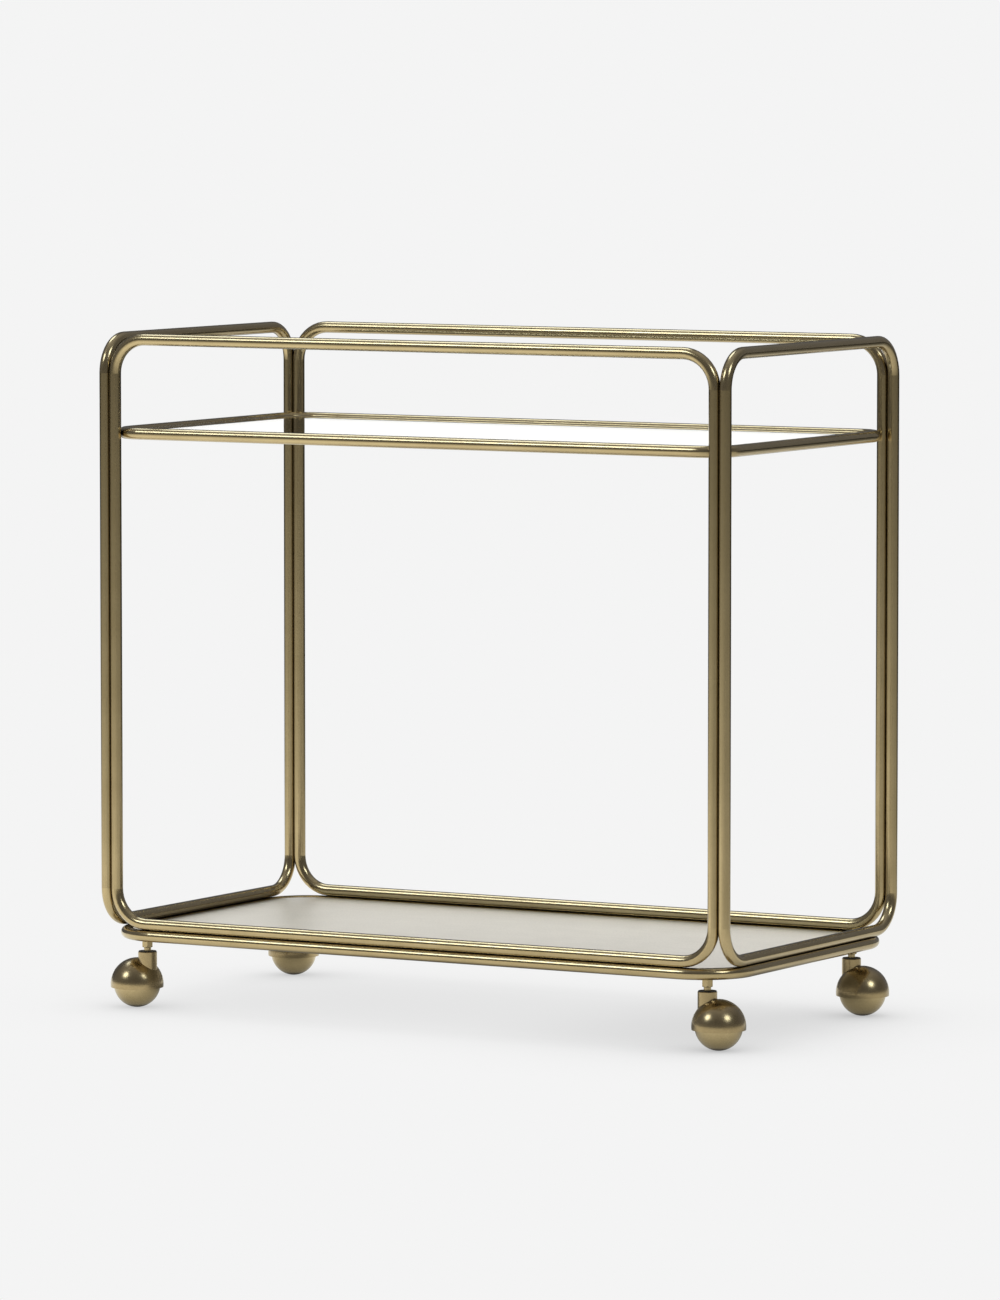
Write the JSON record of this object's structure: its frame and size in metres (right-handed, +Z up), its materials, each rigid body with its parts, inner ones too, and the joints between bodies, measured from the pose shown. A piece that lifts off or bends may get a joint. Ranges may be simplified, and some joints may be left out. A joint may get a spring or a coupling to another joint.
{
  "type": "bar cart",
  "caption": "Rectangular bar cart of bent antique-brass tube loops with a glass upper shelf, a sheet-metal lower shelf and hooded ball casters.",
  "frame": {"origin": "on the floor, under the middle of the cart", "axes": "+X along the length of the cart, +Y across it towards the back, +Z up"},
  "size_m": [0.918, 0.465, 0.8685],
  "materials": {
    "frame_brass": "antique brass finish, finely brushed, satin",
    "caster_brass": "antique brass finish, satin",
    "shelf_sheet": "satin sheet with a pale antique brass tone",
    "clear_glass": "clear tempered glass, polished",
    "clear_pad": "clear soft pad",
    "dark_nylon": "dark nylon, matte",
    "plain_steel": "zinc plated"
  },
  "bodies": {
    "frame": {"base_ring": "frame_brass", "upper_ring": "frame_brass", "front_loop": "frame_brass", "back_loop": "frame_brass", "left_loop": "frame_brass", "right_loop": "frame_brass", "lower_shelf": "shelf_sheet", "glass_shelf": "clear_glass", "glass_tabs": "frame_brass", "glass_pads": "clear_pad", "weld_nuts": "plain_steel", "jam_nuts": "caster_brass", "washers": "caster_brass", "stem_clips": "plain_steel", "corner_plate_fl": "frame_brass", "corner_plate_fr": "frame_brass", "corner_plate_bl": "frame_brass", "corner_plate_br": "frame_brass", "stem_fl": "caster_brass", "stem_fr": "caster_brass", "stem_bl": "caster_brass", "stem_br": "caster_brass"},
    "swivel_fl": {"hood_fl": "caster_brass", "swivel_bush_fl": "dark_nylon", "axle_fl": "plain_steel"},
    "wheel_fl": {"ball_skin_fl": "caster_brass", "ball_core_fl": "dark_nylon"},
    "swivel_fr": {"hood_fr": "caster_brass", "swivel_bush_fr": "dark_nylon", "axle_fr": "plain_steel"},
    "wheel_fr": {"ball_skin_fr": "caster_brass", "ball_core_fr": "dark_nylon"},
    "swivel_bl": {"hood_bl": "caster_brass", "swivel_bush_bl": "dark_nylon", "axle_bl": "plain_steel"},
    "wheel_bl": {"ball_skin_bl": "caster_brass", "ball_core_bl": "dark_nylon"},
    "swivel_br": {"hood_br": "caster_brass", "swivel_bush_br": "dark_nylon", "axle_br": "plain_steel"},
    "wheel_br": {"ball_skin_br": "caster_brass", "ball_core_br": "dark_nylon"}
  },
  "joints": [
    {"name": "swivel_fl", "type": "hinge", "parent": "frame", "child": "swivel_fl", "pos_m": [-0.409, -0.1933, 0.07], "axis": [0, 0, 1], "continuous": true},
    {"name": "roll_fl", "type": "hinge", "parent": "swivel_fl", "child": "wheel_fl", "pos_m": [-0.425, -0.1933, 0.03], "axis": [0, 1, 0], "continuous": true},
    {"name": "swivel_fr", "type": "hinge", "parent": "frame", "child": "swivel_fr", "pos_m": [0.409, -0.1933, 0.07], "axis": [0, 0, 1], "continuous": true},
    {"name": "roll_fr", "type": "hinge", "parent": "swivel_fr", "child": "wheel_fr", "pos_m": [0.425, -0.1933, 0.03], "axis": [0, 1, 0], "continuous": true},
    {"name": "swivel_bl", "type": "hinge", "parent": "frame", "child": "swivel_bl", "pos_m": [-0.409, 0.1933, 0.07], "axis": [0, 0, 1], "continuous": true},
    {"name": "roll_bl", "type": "hinge", "parent": "swivel_bl", "child": "wheel_bl", "pos_m": [-0.425, 0.1933, 0.03], "axis": [0, 1, 0], "continuous": true},
    {"name": "swivel_br", "type": "hinge", "parent": "frame", "child": "swivel_br", "pos_m": [0.409, 0.1933, 0.07], "axis": [0, 0, 1], "continuous": true},
    {"name": "roll_br", "type": "hinge", "parent": "swivel_br", "child": "wheel_br", "pos_m": [0.425, 0.1933, 0.03], "axis": [0, 1, 0], "continuous": true}
  ]
}
